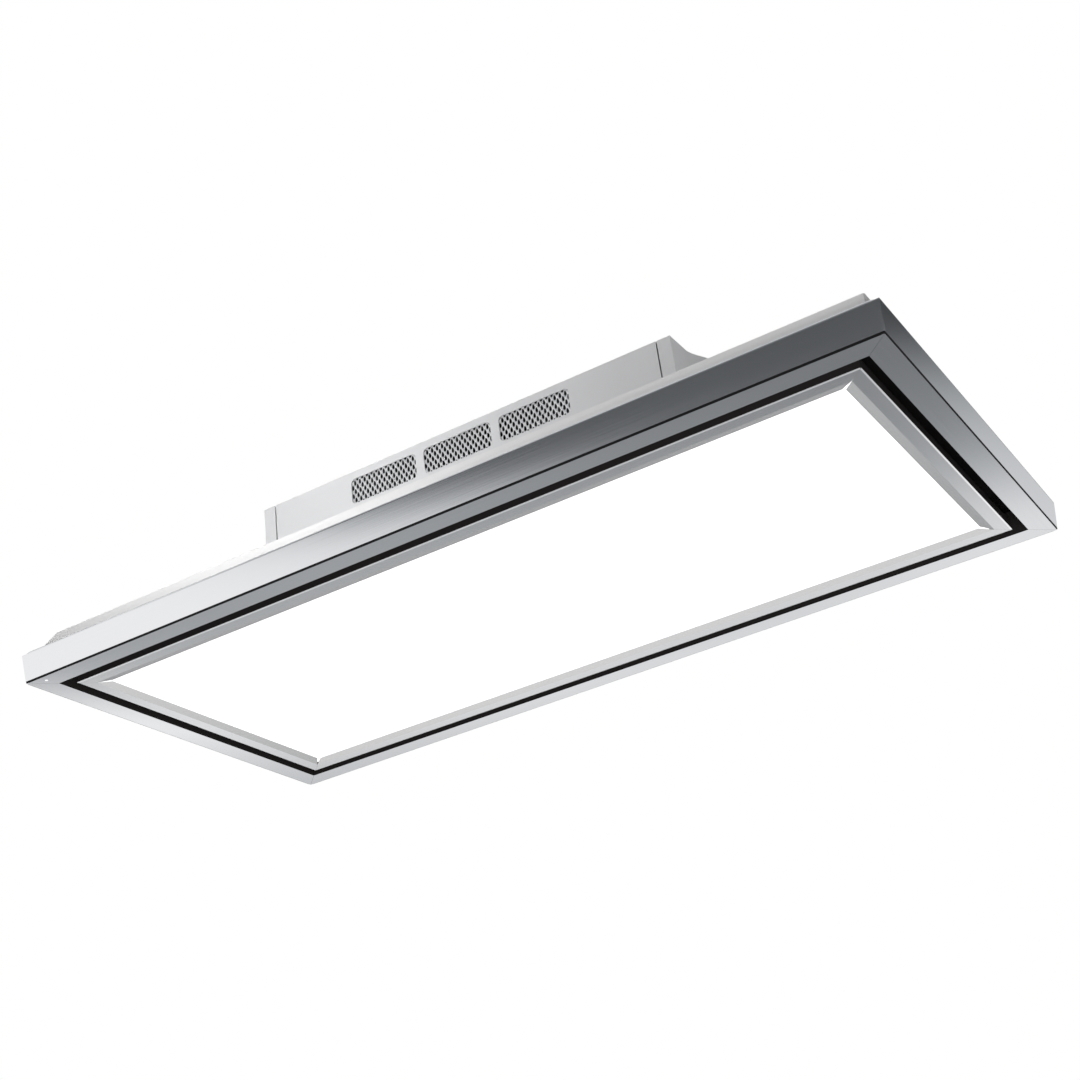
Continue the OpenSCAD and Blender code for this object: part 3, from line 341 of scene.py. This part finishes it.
def clear(t, place, s):
    speck = noise(t, place, 60.0, 2.0)
    t.put(s.inputs["Base Color"], t.mix(speck, rgba((0.86, 0.92, 0.94)), rgba((0.90, 0.95, 0.97))))
    s.inputs["Roughness"].default_value = 0.08
    s.inputs["Transmission Weight"].default_value = 0.9
    s.inputs["IOR"].default_value = 1.49
    t.put(s.inputs["Normal"], bump(t, speck, 0.00001, 0.1))


STEEL = (0.855, 0.860, 0.875)
MAT = {
    "steel_x": material("steel_x", brushed("x", STEEL, 0.055)),
    "steel_y": material("steel_y", brushed("y", STEEL, 0.08)),
    "face_x": material("face_x", brushed("x", (0.86, 0.865, 0.88), 0.08)),
    "face_y": material("face_y", brushed("y", (0.86, 0.865, 0.88), 0.08)),
    "ring_x": material("ring_x", brushed("x", (0.90, 0.905, 0.915), 0.10, 0.88)),
    "ring_y": material("ring_y", brushed("y", (0.90, 0.905, 0.915), 0.10, 0.88)),
    "bevel": material("bevel", coated((0.81, 0.805, 0.80), 0.22, 1200.0, 0.00001, 0.75)),
    "casing": material("casing", coated((0.92, 0.915, 0.915), 0.5, depth=0.000002)),
    "box": material("box", coated((0.87, 0.875, 0.885), 0.5, depth=0.00001)),
    "lens": material("lens", lens),
    # Black on the air guides and tray, and painted shade on the casing's inner side, deck underside and
    # face plate lips, standing in for the unlit inside of the hood.
    "black_coat_and_painted_shade": material("black_coat_and_painted_shade", coated((0.045, 0.041, 0.040), 0.85, shine=0.1)),
    # Near-black for the gasket and fan mounts; on the fascia's steel feet in the shadow gap it is
    # painted shade.
    "rubber_and_painted_shade": material("rubber_and_painted_shade", coated((0.010, 0.010, 0.011), 0.8, 600.0, shine=0.2)),
    "mesh": material("mesh", zinc_plate((0.97, 0.975, 0.985), 0.3, 0.75)),
    "woven": material("woven", woven),
    "filter": material("filter", zinc_plate((0.78, 0.79, 0.81), 0.38)),
    "zinc": material("zinc", zinc_plate((0.74, 0.76, 0.79), 0.40)),
    "magnet": material("magnet", zinc_plate((0.72, 0.72, 0.74), 0.2)),
    "plastic": material("plastic", coated((0.035, 0.035, 0.038), 0.55, 500.0)),
    "grey_plastic": material("grey_plastic", coated((0.18, 0.19, 0.20), 0.5, 500.0)),
    "motor": material("motor", coated((0.09, 0.10, 0.11), 0.45, 400.0)),
    "driver": material("driver", zinc_plate((0.72, 0.73, 0.75), 0.35)),
    "white_plastic": material("white_plastic", coated((0.85, 0.85, 0.84), 0.35, 500.0)),
    "opal": material("opal", opal),
    "clear": material("clear", clear),
    "strip": material("strip", zinc_plate((0.82, 0.82, 0.84), 0.3)),
}
WEAR = {
    "steel_x": "fascia_front fascia_rear",
    "steel_y": "fascia_left fascia_right",
    "face_x": "face_front face_rear",
    "face_y": "face_left face_right",
    "ring_x": "bezel_front bezel_rear",
    "ring_y": "bezel_left bezel_right",
    "casing": "casing_front casing_rear casing_left casing_right top_deck",
    "box": "box_front box_rear box_left_end box_right_end box_lid",
    "black_coat_and_painted_shade": "air_guides_long air_guides_short panel_tray",
    "rubber_and_painted_shade": "shadow_gasket fan_mounts",
    "mesh": "vent_mesh_left vent_mesh_middle vent_mesh_right",
    "filter": "filter_left_frame filter_right_frame",
    "woven": "filter_left_core filter_right_core",
    "zinc": "filter_rails hanger_brackets lid_screws deck_screws hinge_brackets catch_brackets "
            "hinge_leaves hinge_pins catch_strikers motor_shaft",
    "magnet": "filter_magnets catch_magnets",
    "plastic": "scroll_lower scroll_cover outlet_hood impeller cable_gland",
    "motor": "motor",
    "grey_plastic": "electronics_box",
    "driver": "led_driver",
    "white_plastic": "terminal_block reflector",
    "opal": "diffuser",
    "clear": "light_guide",
    "lens": "ir_receiver",
    "strip": "led_strips",
}
for key, names in WEAR.items():
    for name in names.split():
        mesh = nodes[name].data
        mesh.materials.clear()
        mesh.materials.append(MAT[key])


# Pieces: each stands for a CAD node and rides on that node's body
BODY_OF = {n: body for body, names in frame["record"]["behaviour"]["bodies"].items() for n in names}
MM = 0.001
MERGE, TOUCH = 0.002, 0.05
FLAT_DEG, SHARP_DEG = 2, 28


def stand_in(bm, node, name, materials):
    """Turns a bmesh in the frame's metres into the piece that is shown for a node."""
    mesh = bpy.data.meshes.new(name)
    bm.normal_update()
    bm.to_mesh(mesh)
    bm.free()
    for key in materials:
        mesh.materials.append(MAT[key])
    piece = bpy.data.objects.new(name, mesh)
    scene.collection.objects.link(piece)
    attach(piece, BODY_OF[node])
    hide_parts(node)


def copied(node, merged=True):
    """A bmesh of the node's own form, in the frame at rest."""
    bm = bmesh.new()
    bm.from_mesh(nodes[node].data)
    bm.transform(nodes[node].matrix_world)
    bmesh.ops.remove_doubles(bm, verts=bm.verts, dist=MERGE * MM)
    if merged:
        bmesh.ops.dissolve_limit(bm, angle_limit=math.radians(FLAT_DEG), verts=bm.verts, edges=bm.edges)
    return bm


def dressed(bm, node, materials, sort=None):
    """Gives a bmesh's faces their materials and shows it for the node."""
    bm.normal_update()
    for face in bm.faces:
        face.material_index = sort(face) if sort else 0
        face.smooth = False
    stand_in(bm, node, node + "_dressed", materials)


def eased(node, radius, material):
    """The node's own form with its sharp edges eased to a small radius."""
    bm = copied(node)
    limit = math.radians(SHARP_DEG)
    sharp = [e for e in bm.edges if len(e.link_faces) == 2 and e.calc_face_angle(0) > limit]
    bmesh.ops.bevel(bm, geom=sharp, offset=radius * MM, offset_type="OFFSET", segments=3,
                    profile=0.5, affect="EDGES", clamp_overlap=True)
    dressed(bm, node, [material])


def cut(bm, axis, place):
    """Adds an edge loop where the axis has the value place."""
    way = Vector([float(k == axis) for k in range(3)])
    geom = bm.verts[:] + bm.edges[:] + bm.faces[:]
    bmesh.ops.bisect_plane(bm, geom=geom, plane_co=way * place, plane_no=way)


CHAMFER_W, CHAMFER_H = 1.5, 0.7


def chamfered(node, materials, sort):
    """A bezel strip with a wide, low chamfer along its outer edge."""
    bm = copied(node)
    low, high = (Vector(c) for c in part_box(node))
    axis = 1 if high.x - low.x > high.y - low.y else 0
    rim = high[axis] if high[axis] > -low[axis] else low[axis]
    cut(bm, axis, rim - math.copysign(CHAMFER_W * MM, rim))
    for v in bm.verts:
        if abs(v.co[axis] - rim) < TOUCH * MM and v.co.z < low.z + TOUCH * MM:
            v.co.z += CHAMFER_H * MM
    dressed(bm, node, materials, sort)


# Fascia: its corners are rounded in plan, more so towards the top
TRIM_X, TRIM_Y = 500.0, 245.0
LEAN, FASCIA_LOW, FASCIA_HIGH = 3.0, -83.2, -48.0
CORNER_LOW, CORNER_HIGH = 0.4, 11.0
CORNER_CUTS = (0.3, 0.9, 1.8, 3.0, 4.4, 6.0, 7.6, 9.2, 11.0)


def rounded_fascia(node, materials, sort):
    bm = copied(node, merged=False)
    low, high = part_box(node)
    axis = 0 if high[0] - low[0] > high[1] - low[1] else 1
    end = (TRIM_X, TRIM_Y)[axis] + LEAN
    for sign in (-1, 1):
        for step in CORNER_CUTS:
            cut(bm, axis, sign * (end - step) * MM)
    for v in bm.verts:
        up = max(0.0, min(1.0, (v.co.z / MM - FASCIA_LOW) / (FASCIA_HIGH - FASCIA_LOW)))
        r = CORNER_LOW + (CORNER_HIGH - CORNER_LOW) * up ** 2
        a = TRIM_X + LEAN * up - abs(v.co.x) / MM
        b = TRIM_Y + LEAN * up - abs(v.co.y) / MM
        if max(a, b) < r and min(a, b) > -0.01:
            reach = math.hypot(r - a, r - b)
            scale = min(1.0, (r - min(a, b)) / max(reach, 1e-6))
            v.co.x = math.copysign((abs(v.co.x) / MM - (r - a) * (1 - scale)) * MM, v.co.x)
            v.co.y = math.copysign((abs(v.co.y) / MM - (r - b) * (1 - scale)) * MM, v.co.y)
    dressed(bm, node, materials, sort)


# Heights and slopes that tell the faces of one piece apart
FOOT_TOP, LIP_LOW, DECK_UNDER, CASING_TOP = -81.4, -83.4, -30.6, -31.0
BEVEL_SLOPES, BEVEL_AREA = (0.95, 0.999), 200


def rail_or_foot(face):
    """1 for the small feet that stand on the face plate, which lie in the shadow gap and get the
    gasket's near-black colour as painted shade.
    """
    return 1 if face.calc_center_median().z < FOOT_TOP * MM else 0


def ring_or_bevel(face):
    """0 for the flat ring and its edges, 1 for the sloping border."""
    sloping = BEVEL_SLOPES[0] < abs(face.normal.z) < BEVEL_SLOPES[1]
    return 1 if sloping and face.calc_area() > BEVEL_AREA * MM * MM else 0


def is_inward(face):
    """Whether an upright face looks towards the hood's middle."""
    n, c = face.normal, face.calc_center_median()
    return n.x * c.x < 0 if abs(n.x) > abs(n.y) else n.y * c.y < 0


def plate_or_lip(face):
    """1 for the lip's side towards the suction slot, which is coloured black as painted shade for the
    dark slot.
    """
    n, c = face.normal, face.calc_center_median()
    square = abs(n.x) > 0.99 or abs(n.y) > 0.99
    return 1 if abs(n.z) < 0.5 and (is_inward(face) or square) and c.z > LIP_LOW * MM else 0


for side, along in (("front", "x"), ("rear", "x"), ("left", "y"), ("right", "y")):
    chamfered("bezel_" + side, ["ring_" + along, "bevel"], ring_or_bevel)
    dressed(copied("face_" + side), "face_" + side, ["face_" + along, "black_coat_and_painted_shade"], plate_or_lip)
    rounded_fascia("fascia_" + side, ["steel_" + along, "rubber_and_painted_shade"], rail_or_foot)
for name in "box_front box_rear box_left_end box_right_end".split():
    eased(name, 0.3, "box")


def inside(face):
    """1 for the casing's inner side and the deck's underside, which are coloured black as painted shade
    for the hood's unlit inside.
    """
    n, c = face.normal, face.calc_center_median()
    if abs(n.z) > 0.5:
        return 1 if n.z < 0 and c.z < DECK_UNDER * MM else 0
    return 1 if is_inward(face) and c.z < CASING_TOP * MM else 0


for name in "casing_front casing_rear casing_left casing_right top_deck".split():
    dressed(copied(name, merged=False), name, ["casing", "black_coat_and_painted_shade"], inside)
eased("hanger_brackets", 0.4, "zinc")
eased("electronics_box", 1.0, "grey_plastic")


def lathe(bm, origin, axis, profile, around, shape):
    """A closed body of revolution. profile holds (radius, height) pairs; shape changes them by angle."""
    side = Vector((1, 0, 0)) if abs(axis.x) < 0.5 else Vector((0, 1, 0))
    other = axis.cross(side)
    rings = []
    for radius, height in profile:
        ring = []
        for k in range(around):
            a = 2 * math.pi * k / around
            r, h = shape(radius, height, a)
            offset = axis * h + side * (r * math.cos(a)) + other * (r * math.sin(a))
            ring.append(bm.verts.new(origin + offset * MM))
        rings.append(ring)
    for low, high in zip(rings, rings[1:]):
        for k in range(around):
            j = (k + 1) % around
            bm.faces.new((low[k], low[j], high[j], high[k]))


# Screws: pan heads with a cross recess
SCREW_R, HEAD_R, HEAD_H = 2.0, 3.8, 1.8
RECESS_R, RECESS_W, RECESS_D = 2.3, 0.48, 1.0
HEAD = [(HEAD_R, 0.0), (HEAD_R, 0.6), (3.55, 1.05), (3.1, 1.4), (2.6, 1.62), (2.3, 1.7),
        (2.1, 1.73), (1.8, 1.76), (1.5, 1.78), (1.2, 1.79), (0.9, HEAD_H), (0.6, HEAD_H),
        (0.3, HEAD_H), (0.02, HEAD_H)]
SCREW_SPREAD = 8


def recessed(r, h, a):
    arm = min(abs(r * math.sin(a)), abs(r * math.cos(a)))
    if h > 1 and r < RECESS_R and arm < RECESS_W:
        h -= RECESS_D * (1 - 0.5 * r / RECESS_R)
    return r, h


def screws(node):
    groups = []
    for v in nodes[node].data.vertices:
        co = nodes[node].matrix_world @ v.co
        near = [g for g in groups if max(abs(g[0].x - co.x), abs(g[0].y - co.y)) < SCREW_SPREAD * MM]
        if near:
            near[0].append(co)
        else:
            groups.append([co])
    bm = bmesh.new()
    for g in groups:
        x, y = ((min(c[k] for c in g) + max(c[k] for c in g)) / 2 for k in (0, 1))
        bottom, top = min(c.z for c in g), max(c.z for c in g)
        length = (top - bottom) / MM - HEAD_H
        shank = [(0.02, -length), (SCREW_R * 0.7, -length), (SCREW_R, 0.8 - length), (SCREW_R, 0.0)]
        lathe(bm, Vector((x, y, top - HEAD_H * MM)), Vector((0, 0, 1)), shank + HEAD, 48, recessed)
    dressed(bm, node, ["zinc"])


screws("lid_screws")
screws("deck_screws")

# Cable gland: hexagon nuts and a ribbed cap
CAP_RIBS, CAP_R = 18, 11.0
GLAND_BORE, GLAND_BACK = 4.5, 9
GLAND = [(GLAND_BORE, -GLAND_BACK), (9.4, -GLAND_BACK), (10, -8.4), (10, -6.3), (13.5, -6.2),
         (14, -5.8), (14, -1.7), (13.5, -1.2), (10, -1.2), (10, 0), (13.5, 0), (14, 0.5), (14, 5.5),
         (13.5, 6), (10.4, 6.1), (10.9, 6.6), (CAP_R, 7.2), (CAP_R, 15.2), (10.6, 17), (9.6, 18.6),
         (8, 19.6), (6.4, 20), (4.9, 20), (GLAND_BORE, 19.6), (GLAND_BORE, -GLAND_BACK)]


def hexed(r, h, a):
    if r > 13:
        sector = (a + math.pi / 6) % (math.pi / 3) - math.pi / 6
        r *= math.cos(math.pi / 6) / math.cos(abs(sector) - math.pi / 6)
    elif r > 10.5 and 7 < h < 15.5:
        r -= 0.45 * (0.5 + 0.5 * math.cos(CAP_RIBS * a))
    return r, h


low, high = (Vector(c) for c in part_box("cable_gland"))
root = Vector(((low.x + high.x) / 2, low.y + GLAND_BACK * MM, (low.z + high.z) / 2))
bm = bmesh.new()
lathe(bm, root, Vector((0, 1, 0)), GLAND, 144, hexed)
dressed(bm, "cable_gland", ["plastic"])

# Expanded metal: a hexagonal cell round each opening, whose top lip stands out and bottom lip in
PITCH, ROW = 6.4, 5.2
OPEN_W, OPEN_H = 3.0, 5.8
LIP = 0.55
STRAND_T = 0.35
RIM_POINTS = 24


def hexagon(a):
    """Distance from the cell's middle to its edge in the direction a."""
    x, z = abs(math.cos(a)), abs(math.sin(a))
    side = PITCH / 2 / x if x > 1e-6 else 1e6
    slope = ((PITCH / 2) ** 2 + ROW ** 2) / 2 / (PITCH / 2 * x + ROW * z)
    return min(side, slope)


def drop(a):
    """Point of the opening's edge: a lens that is narrower at its top."""
    c, s = math.cos(a), math.sin(a)
    width = OPEN_W / 2 * (1 - 0.22 * s)
    return (width * c * (0.45 + 0.55 * abs(c)) / (0.45 + 0.55 * abs(c) ** 0.5), OPEN_H / 2 * s)


def expanded_metal(node, centre, length, height):
    bm = bmesh.new()
    columns = int(length / PITCH / 2) + 2
    rows = int(height / ROW / 2) + 2
    for row in range(-rows, rows + 1):
        for column in range(-columns, columns + 1):
            mx = (column + (row % 2) / 2) * PITCH
            mz = row * ROW
            outer, inner = [], []
            for k in range(RIM_POINTS):
                a = 2 * math.pi * k / RIM_POINTS
                r = hexagon(a)
                outer.append(bm.verts.new((mx + r * math.cos(a), 0, mz + r * math.sin(a))))
                x, z = drop(a)
                inner.append(bm.verts.new((mx + x, -LIP * math.sin(a), mz + z)))
            for k in range(RIM_POINTS):
                j = (k + 1) % RIM_POINTS
                bm.faces.new((inner[k], inner[j], outer[j], outer[k]))
    bmesh.ops.remove_doubles(bm, verts=bm.verts, dist=0.01)
    along, up = Vector((1, 0, 0)), Vector((0, 0, 1))
    for way, reach in ((along, length), (-along, length), (up, height), (-up, height)):
        geom = bm.verts[:] + bm.edges[:] + bm.faces[:]
        bmesh.ops.bisect_plane(bm, geom=geom, plane_co=way * reach / 2, plane_no=way, clear_outer=True)
    bmesh.ops.solidify(bm, geom=bm.faces[:], thickness=STRAND_T)
    bm.transform(Matrix.Translation(centre) @ Matrix.Scale(MM, 4))
    for face in bm.faces:
        face.smooth = True
    stand_in(bm, node, node + "_strands", ["mesh"])


for name in ("vent_mesh_left", "vent_mesh_middle", "vent_mesh_right"):
    low, high = (Vector(c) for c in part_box(name))
    size = (high - low) / MM
    expanded_metal(name, (low + high) / 2, size.x, size.z)
